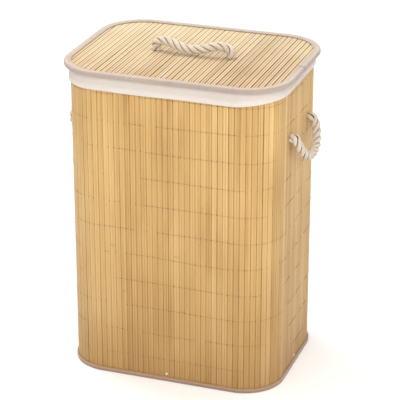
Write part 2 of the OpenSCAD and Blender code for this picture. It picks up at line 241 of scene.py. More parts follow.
def bamboo(name, stops, edge_colour, edge_share, low_share=0.0, pale_share=0.0):
    """Split bamboo under thin varnish: long fibres and dark hair lines, one tone to a slat, darker edges,
    which are partly dirt and partly painted shade, and darker joints. low_share is how much painted shade
    darkens it at the foot of the wall more than at the rim, and pale_share how much painted light makes it
    paler towards the back left."""
    paint = Paint(name, IOR=1.48, Coat_Weight=0.1, Coat_Roughness=0.4)
    streaks = paint.noise(paint.uv(330, 1.3), 2, 0.5)
    hairs = paint.noise(paint.uv(760, 1.8), 2, 0.55)
    fibres = paint.noise(paint.uv(1700, 22), 3, 0.65)
    blotches = paint.noise(paint.uv(20, 7), 2)
    clouds = paint.noise(paint.place(11, 11, 6), 1)
    tone = paint.attribute("tone")
    value = paint.weighted(
        (tone, 0.46), (streaks, 0.6), (fibres, 0.26), (blotches, 0.3), (clouds, 0.45), start=-0.54
    )
    colour = paint.ramp(value, *stops)
    lines = paint.ramp(hairs, (0.57, (0, 0, 0, 1)), (0.72, (0.5, 0.5, 0.5, 1)))
    colour = paint.mix(lines, colour, edge_colour)
    # Painted shade and dirt: edge darkens the slats' eased edges, their sides in the joints and the scored
    # line; on the lid it paints the shade in the gaps.
    edge = paint.math("MULTIPLY", paint.attribute("edge"), edge_share)
    colour = paint.mix(edge, colour, edge_colour)
    knuckle = paint.math("MULTIPLY", paint.attribute("knuckle"), 0.3)
    colour = paint.mix(knuckle, colour, edge_colour)
    across, deep, high = (paint.part(paint.place(1, 1, 1), axis) for axis in range(3))
    # Painted shade: darker and browner towards the foot of the wall, where less light falls.
    if low_share:
        low = paint.weighted((high, -1 / (RIM_HIGH[2] * MM)), start=1.0)
        painted_foot_shade = paint.math("MULTIPLY", paint.math("POWER", low, 2.0), low_share)
        colour = paint.mix(painted_foot_shade, colour, rgb(128, 86, 36))
    # Painted light: paler towards the back left, where the light comes from.
    if pale_share:
        towards = paint.clamped(paint.weighted((deep, 2.6), (across, -1.1), start=0.3))
        colour = paint.mix(paint.math("MULTIPLY", towards, pale_share), colour, rgb(236, 226, 188))
    relief = paint.weighted((fibres, 0.6), (hairs, -0.6))
    return paint.surface(colour, paint.span(fibres, 0.42, 0.64), relief, 0.0003)


def cloth(name, light, dark, threads, fuzz=0.35, height=0.00022, wash=0.5):
    """Plain weave with threads per metre, and slow changes of tone."""
    paint = Paint(name, Sheen_Weight=fuzz, Sheen_Roughness=0.45, IOR=1.4)
    warp = paint.wave(paint.uv(threads, threads), 0.6, "X")
    weft = paint.wave(paint.uv(threads, threads), 0.6, "Y")
    weave = paint.math("MAXIMUM", warp, weft)
    slub = paint.noise(paint.uv(threads * 0.9, 30), 3, 0.6)
    tone = paint.noise(paint.uv(14, 22), 3)
    # The edge attribute is painted light and shade on the bindings (lighter on top, darker low and at the
    # lap), wear on the hinge strip's edges, and a lighter hem on the liner's cuff.
    shading_and_wear = paint.attribute("edge")
    value = paint.weighted((tone, wash), (slub, 0.4), (weave, 0.18), (shading_and_wear, 0.35), start=-0.12)
    colour = paint.ramp(value, (0.2, dark), (0.85, light))
    relief = paint.weighted((weave, 0.8), (slub, 0.5))
    return paint.surface(colour, paint.span(slub, 0.82, 0.95), relief, height)


def rope_cotton():
    """Soft twisted cotton: yarns round each strand, and painted shade in the grooves between strands, brown
    with a little dirt.
    """
    paint = Paint("rope_cotton", Sheen_Weight=0.4, Sheen_Roughness=0.5, IOR=1.4)
    yarns = paint.wave(paint.uv(620, 620, turn=0.75), 1.2)
    fluff = paint.noise(paint.uv(900, 260, turn=0.75), 4, 0.7)
    tone = paint.noise(paint.uv(60, 40), 2)
    value = paint.weighted((tone, 0.45), (fluff, 0.4), (yarns, 0.3))
    colour = paint.ramp(value, (0.25, rgb(196, 172, 144)), (0.75, rgb(236, 222, 204)))
    # Painted shade, with a little dirt: dark brown where a point lies deep between the strands.
    groove = paint.ramp(paint.attribute("groove"), (0.05, (0, 0, 0, 1)), (0.65, (1, 1, 1, 1)))
    colour = paint.mix(groove, colour, rgb(70, 42, 22))
    relief = paint.weighted((yarns, 0.9), (fluff, 0.7))
    return paint.surface(colour, paint.span(fluff, 0.85, 0.97), relief, 0.0005)


def thread(name, light, dark):
    """Twisted sewing thread."""
    paint = Paint(name, Sheen_Weight=0.2, IOR=1.45)
    ply = paint.wave(paint.uv(2600, 2600, turn=0.6))
    tone = paint.noise(paint.place(90, 90, 90), 2)
    value = paint.weighted((ply, 0.35), (tone, 0.75))
    colour = paint.ramp(value, (0.25, dark), (0.8, light))
    shading_and_wear = paint.math("MULTIPLY", paint.attribute("shading_and_wear"), 0.6)
    colour = paint.mix(shading_and_wear, colour, rgb(176, 132, 76))
    return paint.surface(colour, paint.span(tone, 0.6, 0.8), ply, 0.00012)


def metal(name, light, dark, rough):
    """Plated steel with drawing lines and a little tarnish."""
    paint = Paint(name, Metallic=1.0)
    lines = paint.noise(paint.place(1200, 1200, 60), 3, 0.6)
    tarnish = paint.noise(paint.place(120, 120, 120), 3)
    value = paint.weighted((lines, 0.4), (tarnish, 0.7))
    colour = paint.ramp(value, (0.3, dark), (0.75, light))
    return paint.surface(colour, paint.span(tarnish, rough, rough + 0.2), lines, 0.00004)


def fibreboard():
    """Hard brown board with chips of fibre."""
    paint = Paint("fibreboard", IOR=1.45)
    chips = paint.noise(paint.place(500, 180, 500), 4, 0.7)
    clouds = paint.noise(paint.place(18, 18, 18), 3)
    value = paint.weighted((chips, 0.6), (clouds, 0.4))
    colour = paint.ramp(value, (0.3, rgb(112, 80, 52)), (0.7, rgb(158, 120, 84)))
    return paint.surface(colour, paint.span(chips, 0.7, 0.9), chips, 0.0002)


def plastic():
    """Moulded end caps, slightly scuffed."""
    paint = Paint("cap_plastic", IOR=1.46)
    scuffs = paint.noise(paint.place(700, 700, 200), 4, 0.7)
    colour = paint.ramp(scuffs, (0.3, rgb(206, 200, 186)), (0.7, rgb(232, 228, 216)))
    return paint.surface(colour, paint.span(scuffs, 0.4, 0.65), scuffs, 0.00005)


WALL_STOPS = (
    (0.2, rgb(166, 126, 71)), (0.42, rgb(190, 152, 91)),
    (0.6, rgb(202, 165, 105)), (0.82, rgb(216, 183, 127)),
)
LID_STOPS = (
    (0.2, rgb(184, 148, 106)), (0.42, rgb(202, 170, 128)),
    (0.6, rgb(213, 185, 145)), (0.82, rgb(224, 201, 166)),
)
MATERIALS = {
    "bamboo": bamboo("bamboo", WALL_STOPS, rgb(116, 78, 38), 0.22, low_share=0.5),
    # lid_bamboo paints shade into the gaps between its slats with dark edges at full share, and painted light
    # towards the back left.
    "lid_bamboo": bamboo("lid_bamboo", LID_STOPS, rgb(84, 56, 30), 1.0, pale_share=0.45),
    "binding_cloth": cloth("binding_cloth", rgb(201, 182, 165), rgb(154, 138, 129), 1500),
    "foot_cloth": cloth("foot_cloth", rgb(178, 138, 100), rgb(134, 112, 100), 1500),
    "liner_cotton": cloth("liner_cotton", rgb(218, 208, 200), rgb(199, 188, 180), 1900, 0.3, 0.00018, 0.35),
    "rope_cotton": rope_cotton(),
    "thread": thread("thread", rgb(140, 96, 48), rgb(84, 52, 22)),
    "sewing_thread": thread("sewing_thread", rgb(222, 206, 188), rgb(186, 168, 150)),
    "steel_wire": metal("steel_wire", rgb(176, 178, 180), rgb(118, 118, 120), 0.35),
    "rivet_steel": metal("rivet_steel", rgb(236, 232, 224), rgb(188, 182, 172), 0.16),
    "fibreboard": fibreboard(),
    "cap_plastic": plastic(),
}


# ---- mesh helpers, all in millimetres


class Mesh:
    """Gathers points, faces, flat coordinates and values at points, then makes one piece."""

    def __init__(self):
        self.points, self.faces, self.uvs, self.values = [], [], [], {}

    def grid(self, points, uvs, closed_u=False, closed_v=False, values=None, flip=False):
        """Faces over an array of points [rows, columns, 3], with uvs in metres for each row and column."""
        rows, columns = points.shape[:2]
        start = len(self.points)
        self.points.extend(points.reshape(-1, 3))
        for name, value in (values or {}).items():
            value = np.broadcast_to(value, (rows, columns)).reshape(-1)
            self.values.setdefault(name, {}).update(zip(range(start, start + rows * columns), value))
        for i in range(rows if closed_v else rows - 1):
            for j in range(columns if closed_u else columns - 1):
                corners = [(i, j), (i, j + 1), (i + 1, j + 1), (i + 1, j)]
                if flip:
                    corners.reverse()
                self.faces.append([start + (a % rows) * columns + b % columns for a, b in corners])
                self.uvs.append([(uvs[a, b, 0], uvs[a, b, 1]) for a, b in corners])
        return start

    def fan(self, ring, centre):
        """Closes a ring of points to a centre point."""
        ring, middle = list(ring), len(self.points)
        self.points.append(centre)
        for a, b in zip(ring, ring[1:] + ring[:1]):
            self.faces.append([a, b, middle])
            self.uvs.append([(0, 0)] * 3)

    def tube(self, points, uvs, values=None):
        """Faces over rings of points [rings, sides, 3], with both ends closed."""
        rings, sides = points.shape[:2]
        first = self.grid(points, uvs, closed_u=True, values=values)
        last = first + (rings - 1) * sides
        self.fan(reversed(range(first, first + sides)), points[0].mean(0))
        self.fan(range(last, last + sides), points[-1].mean(0))

    def make(self, name, material, slot=None):
        data = bpy.data.meshes.new(name)
        data.from_pydata([tuple(p * MM) for p in np.array(self.points)], [], self.faces)
        layer = data.uv_layers.new(name="UVMap")
        flat = [c for face in self.uvs for uv in face for c in uv]
        layer.data.foreach_set("uv", np.array(flat, np.float32))
        for key, value in self.values.items():
            attribute = data.attributes.new(key, "FLOAT", "POINT")
            full = np.zeros(len(self.points), np.float32)
            full[list(value)] = list(value.values())
            attribute.data.foreach_set("value", full)
        data.polygons.foreach_set("use_smooth", [True] * len(data.polygons))
        data.materials.append(MATERIALS[material])
        data.validate()
        piece = bpy.data.objects.new(name, data)
        bpy.context.scene.collection.objects.link(piece)
        return piece


def uv_grid(u, v):
    """Flat coordinates [rows, columns, 2] in metres, from each column's and each row's in millimetres."""
    return np.stack(np.meshgrid(u, v), axis=-1) * MM


def settle(piece, body, node=None):
    """Fixes a piece to a body, in place of a CAD node if one is named."""
    if node:
        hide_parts(node)
    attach(piece, body)
    return piece


def thicken(piece, thick):
    """Gives a cloth its thickness, half to each side."""
    shell = piece.modifiers.new("thickness", "SOLIDIFY")
    shell.thickness, shell.offset = thick * MM, 0
    return piece


def turns(count):
    """Angles evenly round a circle."""
    return np.linspace(0, math.tau, count, endpoint=False)


def lengths_along(points):
    """How far along a line each of its points is."""
    return np.concatenate([[0], np.cumsum(np.linalg.norm(np.diff(np.asarray(points), axis=0), axis=1))])


def ripple(rng, length, waves, count=5):
    """A smooth function of a distance that repeats after length, between about -1 and 1."""
    counts = rng.integers(waves[0], waves[1], count)
    phases = rng.uniform(0, math.tau, count)
    sizes = rng.uniform(0.5, 1, count)
    return lambda s: sum(
        a * np.sin(math.tau * n * np.asarray(s) / length + p) for a, n, p in zip(sizes, counts, phases)
    ) / sizes.sum() * 1.6


class Hoop:
    """The body's outline at the slats' outer face, from the middle of the back, anticlockwise from above."""

    def __init__(self):
        rows, s = [], 0.0
        place, out, forward = np.array([[0, BODY_D / 2], [0, 1], [-1, 0]], float)
        for wall_at, length in enumerate((FLAT_X / 2, FLAT_Y, FLAT_X, FLAT_Y, FLAT_X / 2)):
            for d in np.linspace(0, length, round(length / 5), endpoint=False):
                rows.append((*(place + forward * d), *out, s + d, 0.0))
            place, s = place + forward * length, s + length
            if wall_at == 4:
                break
            for t in np.linspace(0, 1, 16, endpoint=False):
                turned = out * math.cos(t * math.pi / 2) + forward * math.sin(t * math.pi / 2)
                base = place + (turned - out) * CORNER_R
                rows.append((*base, *turned, s + CORNER_ARC * t, math.sin(math.pi * t)))
            place, s = place + (forward - out) * CORNER_R, s + CORNER_ARC
            out, forward = forward, -out
        rows = np.array(rows)
        self.base, self.normal, self.along, self.corner = rows[:, :2], rows[:, 2:4], rows[:, 4], rows[:, 5]
        self.length, self.ring = s, np.append(self.along, s)

    def points(self, off, z):
        """Points [rows, columns, 3] for arrays of offsets and heights [rows, columns]."""
        xy = self.base + self.normal * off[..., None]
        return np.concatenate([xy, z[..., None]], axis=-1)

    def at(self, s):
        """Base point and normal at distances along the outline."""
        s = np.asarray(s) % self.length
        base, normal = (
            np.stack([np.interp(s, self.ring, [*side, side[0]]) for side in values.T], axis=-1)
            for values in (self.base, self.normal)
        )
        return base, normal / np.linalg.norm(normal, axis=-1, keepdims=True)

    def ripples(self, rng, fewest, most, count=5):
        """A ripple's value at each place along the outline."""
        return ripple(rng, self.length, (fewest, most), count)(self.along)


HOOP = Hoop()


def stitch(mesh, start, end, up, thick, sink=0.6):
    """One sewn stitch: a short thread that rises from the cloth at start, lies on it, and goes in at end."""
    start, end, up = (np.asarray(v, float) for v in (start, end, up))
    t, angle = np.linspace(0, 1, 5), turns(6)
    lift = np.sin(np.pi * t) ** 0.5 * thick * (0.5 + sink) - thick * sink
    line = start + (end - start) * t[:, None] + up * lift[:, None]
    length = np.linalg.norm(end - start)
    across = np.cross(up, (end - start) / length)
    ring = (np.cos(angle)[:, None] * across + np.sin(angle)[:, None] * up) * thick / 2
    mesh.tube(line[:, None] + ring[None], uv_grid(np.linspace(0, thick * math.pi, 7), t * length))


def stitch_row(mesh, rng, off, z, thick, side, right_rise=0):
    """Stitches all round the body, on a face that looks along side (out, up). The row sits right_rise higher
    where the wall faces right."""
    count = int(HOOP.length // (STITCH + STITCH_GAP))
    starts = np.arange(count) * HOOP.length / count
    jitter = rng.uniform(-0.15, 0.15, count)
    out, up = side
    faces = [HOOP.at(starts + d) for d in (0, STITCH)]
    for i in range(count):
        a, b = (
            [*(base[i] + normal[i] * off), z + jitter[i] + right_rise * max(normal[i][0], 0)]
            for base, normal in faces
        )
        stitch(mesh, a, b, [*(faces[0][1][i] * out), up], thick)


# ---- ropes


def smooth_line(points, step):
    """A Catmull-Rom curve through the points, as points about step apart."""
    p = np.asarray(points, float)
    p = np.vstack([2 * p[0] - p[1], p, 2 * p[-1] - p[-2]])
    fine = []
    for a, b, c, d in zip(p, p[1:], p[2:], p[3:]):
        for t in np.linspace(0, 1, 16, endpoint=False):
            square, cube = 2 * a - 5 * b + 4 * c - d, 3 * b - a - 3 * c + d
            fine.append(0.5 * (2 * b + (c - a) * t + square * t**2 + cube * t**3))
    fine = np.array([*fine, p[-2]])
    along = lengths_along(fine)
    at = np.linspace(0, along[-1], max(8, round(along[-1] / step) + 1))
    return np.stack([np.interp(at, along, fine[:, k]) for k in range(3)], axis=1), at


def carried_frames(line):
    """Two directions across a line at each of its points, carried along it without twist."""
    tangent = np.gradient(line, axis=0)
    tangent /= np.linalg.norm(tangent, axis=1)[:, None]
    side = np.cross(tangent[0], [0.3, 0.2, 0.93])
    side /= np.linalg.norm(side)
    sides = []
    for t in tangent:
        side = side - t * (side @ t)
        side /= np.linalg.norm(side)
        sides.append(side)
    sides = np.array(sides)
    return sides, np.cross(tangent, sides)


def lay_rope(mesh, line, at, radius, lay, sides=20, turn=0.0):
    """Strands laid round a line. radius is the rope's at each point. Returns how far along each vertex is."""
    a, b = carried_frames(line)
    around = turns(sides)
    cos, sin = np.cos(around)[None, :, None], np.sin(around)[None, :, None]
    # How deep each point lies between the strands, for the painted shade there.
    depth = np.clip((0.22 - np.cos(around)) / 0.42, 0, 1)
    girth = math.pi * float(radius.max())
    uvs = uv_grid(np.linspace(0, girth, sides + 1), at * math.hypot(1, girth / lay))
    shares = []
    for k in range(STRANDS):
        angle = math.tau * (k / STRANDS + at / lay) + turn
        out = np.cos(angle)[:, None] * a + np.sin(angle)[:, None] * b
        centre = line + out * (radius * 0.53)[:, None]
        forward = np.gradient(centre, axis=0)
        forward /= np.linalg.norm(forward, axis=1)[:, None]
        out -= forward * (out * forward).sum(1)[:, None]
        out /= np.linalg.norm(out, axis=1)[:, None]
        section = cos * out[:, None] + 1.04 * sin * np.cross(forward, out)[:, None]
        points = centre[:, None] + section * (radius * 0.475)[:, None, None]
        mesh.tube(points, uvs, values={"groove": depth[None]})
        shares += [*np.repeat(at, sides), at[0], at[-1]]
    return np.array(shares)


def bend_rope(piece):
    """Bakes a rope's placement into its points."""
    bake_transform(piece)


def handle(name, points, hole, node):
    """A rope handle from hole to hole. points starts and ends inside the knots."""
    line, at = smooth_line(points, 1.6)
    from_end = np.minimum(at, at[-1] - at)
    swell = np.clip((from_end - IN_KNOT) / 5.5, 0, 1)
    radius = ROPE_D / 2 * (0.69 + 0.31 * np.sqrt(1 - (1 - swell) ** 2))
    mesh = Mesh()
    shares = lay_rope(mesh, line, at, radius, LAY)
    piece = mesh.make(name, "rope_cotton")
    hole = np.array(hole)
    bend_rope(piece)
    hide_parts(node)


def knot_at(mesh, centre, outwards, across, rng):
    """An overhand knot pulled tight: a trefoil of rope about a hole's axis."""
    t = np.linspace(0, math.tau, 97)
    ring, swell, rope_r = KNOT_R * 0.47, KNOT_R * 0.25, KNOT_R * 0.28
    outwards, across = np.array(outwards), np.array(across)
    up = np.cross(outwards, across)
    r = ring + swell * np.cos(3 * t)
    line = (
        np.asarray(centre) + (r * np.cos(2 * t))[:, None] * across + (r * np.sin(2 * t))[:, None] * up
        + (swell * 1.05 * np.sin(3 * t))[:, None] * outwards
    )
    at = lengths_along(line)
    lay_rope(mesh, line, at, np.full(len(line), rope_r), at[-1] / 7, sides=12, turn=rng.uniform(0, 2))


def knots(name, body, centres, outwards, across, node):
    mesh, rng = Mesh(), np.random.default_rng(7)
    for centre in centres:
        knot_at(mesh, centre, outwards, across, rng)
    return settle(mesh.make(name, "rope_cotton"), body, node)


def mirrored(half, axis):
    """A half route and its mirror image along an axis, end to end."""
    other = [p.copy() for p in half[-2::-1]]
    for p in other:
        p[axis] = -p[axis]
    return half + other


def side_handle(side, name):
    sign = 1 if side == "right" else -1
    wall = BODY_W / 2
    inner = [np.array([sign * (wall + out), HANDLE_Y, SIDE_AXIS[2]]) for out in THROUGH_HOLE]
    cos, sin = math.cos(LEAN[side]), math.sin(LEAN[side])
    leaning = [(out * cos - down * sin, share, down * cos + out * sin) for out, share, down in SIDE_ROUTE]
    loop = [
        np.array([sign * (SIDE_AXIS[0] + out), share * HANDLE_Y, SIDE_AXIS[2] - down])
        for out, share, down in leaning
    ]
    knot_x = sign * (wall - SLAT_T - (KNOTS_HIGH[0] - KNOTS_LOW[0] - SLAT_T) / 2 - 0.3)
    centres = [(knot_x, s * HANDLE_Y, SIDE_AXIS[2]) for s in (-1, 1)]
    out = (sign, 0, 0)
    made = knots(f"{side}_knots", "basket", centres, out, (0, 1, 0), f"{side}_handle_knots")
    hole = (sign * wall, HANDLE_Y, SIDE_AXIS[2])
    route, node = mirrored(inner + loop, 1), f"{side}_handle_rope"
    handle(name, route, hole, node)


def lid_handle():
    top = LID_SLAT_HIGH[2]
    inner = [np.array([-LID_HANDLE_X, 0, top + up]) for up in THROUGH_HOLE]
    loop = [np.array([-share * LID_HANDLE_X, -forward, LID_AXIS[2] + up]) for share, forward, up in LID_ROUTE]
    knot_z = top - SLAT_T - (LID_KNOTS_HIGH[2] - LID_KNOTS_LOW[2] - SLAT_T) / 2 - 0.3
    centres = [(s * LID_HANDLE_X, 0, knot_z) for s in (-1, 1)]
    out = (0, 0, 1)
    made = knots("lid_knots", "lid", centres, out, (1, 0, 0), "lid_handle_knots")
    hole = (-LID_HANDLE_X, 0, top)
    route, node = mirrored(inner + loop, 0), "lid_handle_rope"
    handle("lid_rope", route, hole, node)


# ---- slats

# A slat's section as (share of the half width, further across from that in mm, share of the thickness), with
# eased edges and a scored line down the middle of its face. EDGE is how dark each point is painted: dirt, and
# painted shade on the sides in the joints, on the eased edges and in the scored line.
SECTION = [
    (-1, 0.15, -1), (1, -0.15, -1), (1, 0, -0.85), (1, 0, -0.28), (1, -0.22, -0.09), (1, -0.75, -0.02),
    (0.5, 0, 0), (0, 0.42, 0), (0, 0.14, -0.14), (0, -0.14, -0.14), (0, -0.42, 0), (-0.5, 0, 0),
    (-1, 0.75, -0.02), (-1, 0.22, -0.09), (-1, 0, -0.28), (-1, 0, -0.85),
]
EDGE = [0.25, 0.25, 1, 1, 0.9, 0.3, 0, 0.3, 1, 1, 0.3, 0, 0.3, 0.9, 1, 1]
CLOSED = [*SECTION, SECTION[0]]
SCORED = [share == 0 for share, extra, height in SECTION]


def slat(mesh, rng, tone, score, origin, across, out, along, length, width, gaps, cuts=(), reach=None):
    """One slat of split bamboo. origin is the middle of its outer face at its low end. gaps are how far its
    two edges may wander in. score is how dark the line down its face is. cuts are (place along, side, radius)
    of half-round notches in an edge. reach(u) is the share of the length that a place u across it has, where
    its ends follow a curve."""
    knuckles = [rng.uniform(0.1, 0.9) * length] if rng.random() < 0.12 else []
    places = [0, 0.8, length - 0.8, length, *np.linspace(0, length, max(4, round(length / 45)))[1:-1]]
    places += [k + d for k in knuckles for d in (-3.5, -1.2, 0, 1.6, 4)]
    places += [c + r * math.cos(a) for c, _, r in cuts for a in np.linspace(0, math.pi, 9)]
    places = np.array(sorted(p for p in places if 0 <= p <= length))
    wander = [ripple(rng, length * 1.7, (1, 6)) for _ in range(2)]
    tilt, lift = rng.normal(0, 0.008), rng.uniform(-0.1, 0.04)
    rows = []
    raised = np.zeros(len(places))
    for k in knuckles:
        raised += np.exp(-(((places - k) / 1.6) ** 2))
    for p, high in zip(places, raised):
        inset = [gaps[i] * (0.5 + 0.5 * float(wander[i](p))) for i in range(2)]
        for c, side, r in cuts:
            if abs(p - c) < r:
                inset[side] = max(inset[side], math.sqrt(r * r - (p - c) ** 2))
        end = 0.25 if p < 0.5 or p > length - 0.5 else 0
        row = []
        for share, extra, height in SECTION:
            half = width / 2 - (inset[1] if share > 0 else inset[0])
            u = share * half + extra + (end if share < 0 else -end)
            v = height * SLAT_T + lift + u * tilt + (0.16 * high if height > -0.5 else 0)
            place = p if reach is None else length / 2 + (p - length / 2) * reach(u)
            row.append(origin + across * u + out * v + along * place)
        rows.append(row)
    shift_u, shift_v = rng.uniform(0, 4000, 2)
    section = [(share * width / 2 + extra, height * SLAT_T) for share, extra, height in CLOSED]
    # Painted shade and dirt on the edges, the sides and the scored line, from EDGE and score.
    shading_and_wear = np.array(EDGE) * np.where(SCORED, score, 1)
    values = {"tone": np.full((1, 1), tone), "edge": shading_and_wear[None], "knuckle": raised[:, None]}
    mesh.tube(np.array(rows), uv_grid(lengths_along(section) + shift_u, places + shift_v), values)


def slat_run(name, node, body, material, seed, count, pitch, place, cuts_at=(), wide=0.14, gap=0.14):
    """Slats side by side. place(middle) gives each one's origin, directions and length. wide is the share of
    the joints that stand open, and gap the least distance between slats."""
    mesh, rng = Mesh(), np.random.default_rng(seed)
    open_joints, ends = rng.random(count + 1) < wide, count + 1
    gaps = np.where(open_joints, rng.uniform(0.3, 0.65, ends), rng.uniform(0, 0.12, ends))
    bundle = np.repeat(rng.beta(2, 2, count), rng.integers(1, 5, count))[:count]
    tones = 0.5 * bundle + 0.5 * rng.beta(2.5, 2.5, count)
    for i in range(count):
        middle = (i - (count - 1) / 2) * pitch
        origin, across, out, along, length, *reach = place(middle)
        cuts = []
        for hole, height, radius in cuts_at:
            for side, edge in ((0, middle - pitch / 2), (1, middle + pitch / 2)):
                if abs(edge - hole) < pitch / 4:
                    cuts.append((height, side, radius))
        shape = (origin, across, out, along, length, pitch - gap, gaps[i : i + 2], cuts, *reach)
        slat(mesh, rng, tones[i], rng.uniform(2 * gap - 0.28, 1), *shape)
    settle(mesh.make(name, material), body, node)


UP = np.array([0.0, 0, 1])


def wall(name, node, out, width, distance, seed, cuts_at=()):
    """A straight run of the slat wall, seen from outside from left to right."""
    out = np.array(out, float)
    across = np.cross(UP, out)
    count = round(width / PITCH)
    length = SLAT_TOP - SLAT_LOW

    def place(middle):
        return out * distance + across * middle + UP * SLAT_LOW, across, out, UP, length

    slat_run(name, node, "basket", "bamboo", seed, count, width / count, place, cuts_at)


def corner(name, node, sx, sy, seed):
    """The slats round one corner."""
    count = round(CORNER_ARC / PITCH)
    step = math.pi / 2 / count
    width = 2 * (CORNER_R - SLAT_T) * math.tan(step / 2)
    first = math.atan2(sy, sx)
    centre = np.array([sx * FLAT_X / 2, sy * FLAT_Y / 2, 0])

    def place(middle):
        angle = first + middle / width * step
        out = np.array([math.cos(angle), math.sin(angle), 0])
        return centre + out * CORNER_R + UP * SLAT_LOW, np.cross(UP, out), out, UP, SLAT_TOP - SLAT_LOW

    slat_run(name, node, "basket", "bamboo", seed, count, width, place)


MAT_PITCH = FLAT_X / round(FLAT_X / PITCH)


def mat(name, node, material, body, off, outer_z, out, seed, holes=()):
    """A mat of slats along Y inside the outline that stands off by off, its outer face up or down."""
    half = math.floor((BODY_W / 2 + off - SLAT_T) / MAT_PITCH) + 1
    out = np.array([0, 0, out], float)
    across = np.cross([0, 1, 0], out)
    radius = CORNER_R + off

    def half_length(x):
        past = max(min(abs(x), BODY_W / 2 + off - 0.5) - FLAT_X / 2, 0)
        return BODY_D / 2 - CORNER_R + math.sqrt(radius**2 - past**2) - 0.3

    def place(middle):
        longest = half_length(abs(middle) - MAT_PITCH / 2)
        origin = across * middle + np.array([0, -longest, outer_z])
        turned = across[0]
        return (
            origin, across, out, np.array([0, 1.0, 0]), 2 * longest,
            lambda u: half_length(turned * (middle + u)) / longest,
        )

    cuts_at = [(h, half_length(0), HOLE_R) for h in holes]
    slat_run(name, node, body, material, seed, 2 * half, MAT_PITCH, place, cuts_at, wide=0.4, gap=0.48)


def thread_line(mesh, start, end, off, level, radius):
    """A thin thread along the wall between two places, at the height that level gives."""
    s = np.linspace(start, end, max(3, round(abs(end - start) / 4)))
    base, normal = HOOP.at(s)
    angle = turns(5)
    out = off + radius * np.cos(angle)[None, :]
    points = np.zeros((len(s), len(angle), 3))
    points[..., :2] = base[:, None] + normal[:, None] * out[..., None]
    points[..., 2] = level(s)[:, None] + radius * np.sin(angle)[None, :]
    uvs = uv_grid(np.linspace(0, math.tau * radius, len(angle) + 1), s - start)
    mesh.grid(points, uvs, closed_u=True, flip=True, values={"shading_and_wear": np.ones((1, 1))})


def thread_rows():
    """The rows of thread that bind the wall: a thread behind the slats, one that comes over the front here
    and there, and a dark stitch where it dives into each joint."""
    mesh, rng = Mesh(), np.random.default_rng(31)
    low, high = box_mm("wall_threads")
    joints = joints_round()
    front_right = HOOP.length * 0.5 + FLAT_X / 4

    def slack(s):
        """How seldom the thread comes to the front at a place: seldom but at the right of the front wall."""
        return 0.2 - 1.0 * math.exp(-(((s - front_right) / 110) ** 4))

    for z in np.linspace(low[2] + 0.6, high[2] - 0.6, THREAD_ROWS):
        sag, shown = ripple(rng, HOOP.length, (2, 7)), ripple(rng, HOOP.length, (3, 24), 7)

        def level(s):
            return z + 1.3 * sag(s)

        thread_line(mesh, 0, HOOP.length, -SLAT_T - 0.42, level, 0.4)
        for here, after in zip(joints, joints[1:]):
            if shown(here) > slack(here):
                thread_line(mesh, here, after, 0.12, level, 0.26)
        for s in joints:
            if shown(s) < slack(s) and rng.random() < 0.5:
                continue
            length = rng.uniform(1.5, 2.8)
            at = s + np.array([-0.5, 0.5]) * length
            base, normal = HOOP.at(at)
            heights = float(level(s)) + rng.uniform(-0.4, 0.4, 2)
            a, b = ([*(base[k] + normal[k] * 0.1), heights[k]] for k in range(2))
            stitch(mesh, a, b, [*normal[0], 0], rng.uniform(0.8, 1.3), sink=0.9)
    settle(mesh.make("wall_binding_threads", "thread"), "basket", "wall_threads")


def joints_round():
    """Where the joints between slats are along the outline."""
    places, start = [], -FLAT_X / 2
    for length in (FLAT_X, CORNER_ARC, FLAT_Y, CORNER_ARC) * 2 + (FLAT_X,):
        places += [*np.linspace(start, start + length, round(length / PITCH), endpoint=False)]
        start += length
    return [s for s in places if 0 <= s < HOOP.length]


def mat_threads(name, node, body, off, z, out, rise, seed):
    """Thread rows of a mat: a cord under the slats, and in each gap a stitch that is rise further out."""
    mesh, rng, angle = Mesh(), np.random.default_rng(seed), turns(6)
    low, high = box_mm(node)
    rows = round((high[1] - low[1]) / THREAD_PITCH) + 1
    for y in np.linspace(low[1] + 0.6, high[1] - 0.6, rows):
        inside = max(abs(y) - (BODY_D / 2 - CORNER_R), 0)
        reach = BODY_W / 2 - CORNER_R + math.sqrt(max((CORNER_R + off) ** 2 - inside**2, 0)) - 2
        xs = np.arange(-reach, reach, 8.0)
        points = np.zeros((len(xs), len(angle), 3))
        points[..., 0] = xs[:, None]
        points[..., 1] = y + 0.3 * np.sin(xs / 23)[:, None] + 0.5 * np.cos(angle)
        points[..., 2] = z + 0.28 * np.sin(angle)
        mesh.grid(points, uv_grid(np.linspace(0, 3, len(angle) + 1), xs), closed_u=True, flip=True)
        for k in range(math.ceil(-reach / MAT_PITCH), math.floor(reach / MAT_PITCH) + 1):
            a = np.array([k * MAT_PITCH - 0.9, y + rng.uniform(-0.4, 0.4), z + out * rise])
            stitch(mesh, a, a + [1.8, 0, 0], [0, 0, out], 0.7, sink=0.9)
    settle(mesh.make(name, "thread"), body, node)


# ---- bindings


def rounded(points, radii):
    """A closed outline [(off, z)] with each corner rounded."""
    points, made = np.array(points, float), []
    for p, before, after, r in zip(points, np.roll(points, 1, 0), np.roll(points, -1, 0), radii):
        a = p + (before - p) / np.linalg.norm(before - p) * r
        b = p + (after - p) / np.linalg.norm(after - p) * r
        for t in np.linspace(0, 1, 4):
            made.append((1 - t) ** 2 * a + 2 * t * (1 - t) * p + t**2 * b)
    return np.array(made)


